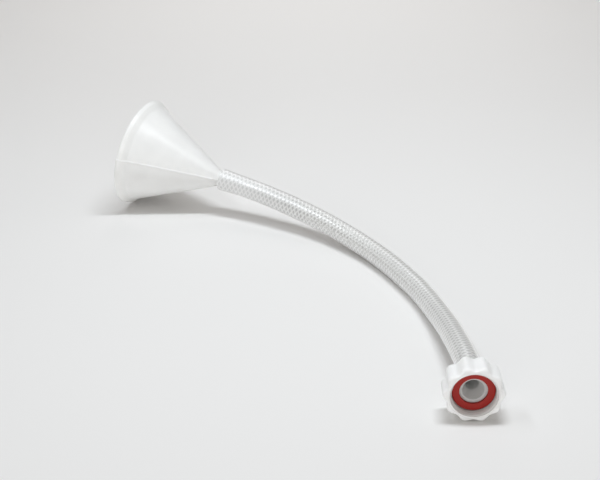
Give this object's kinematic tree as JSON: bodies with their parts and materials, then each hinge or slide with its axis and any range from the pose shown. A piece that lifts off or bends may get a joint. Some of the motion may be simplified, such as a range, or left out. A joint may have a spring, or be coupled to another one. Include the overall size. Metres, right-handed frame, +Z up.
{
  "type": "filling funnel",
  "caption": "Moulded plastic funnel cone on a braid-reinforced clear hose that ends in a hand-turned union nut with a sealing washer.",
  "frame": {"origin": "on the surface the funnel lies on, below the middle of the box round the cone, the tail, the washer and the nut", "axes": "+Z up; the nut's axis runs along Y and its socket opens towards -Y; the cone lies at the -X, +Y end with its mouth facing -X"},
  "size_m": [0.3106, 0.4212, 0.0972],
  "materials": {
    "natural_plastic": "natural translucent polypropylene, satin as moulded",
    "white_plastic": "white moulded plastic, satin",
    "clear_vinyl": "clear soft vinyl, glossy",
    "white_yarn": "white polyester yarn, braided",
    "red_rubber": "flat red-brown sealing rubber"
  },
  "bodies": {
    "base": {"hose_cover": "clear_vinyl", "hose_braid": "white_yarn", "hose_liner": "clear_vinyl", "hose_tail": "white_plastic"},
    "cone": {"funnel_cone": "natural_plastic"},
    "gasket": {"gasket": "red_rubber"},
    "nut": {"union_nut": "white_plastic"}
  },
  "joints": [
    {"name": "hose_flex", "type": "hinge", "parent": "base", "child": "cone", "pos_m": [0.0972, -0.0056, 0.0091], "axis": [0.908, 0.419, 0], "range_deg": [0, 60], "stiffness_Nm_per_rad": 0.2, "deforming": ["hose_cover", "hose_braid", "hose_liner"]},
    {"name": "nut_float", "type": "slide", "parent": "base", "child": "gasket", "axis": [0, -1, 0], "range_m": [0, 0.0042]},
    {"name": "nut_spin", "type": "hinge", "parent": "gasket", "child": "nut", "pos_m": [0.1334, -0.2012, 0.02086], "axis": [0, 1, 0], "continuous": true}
  ]
}
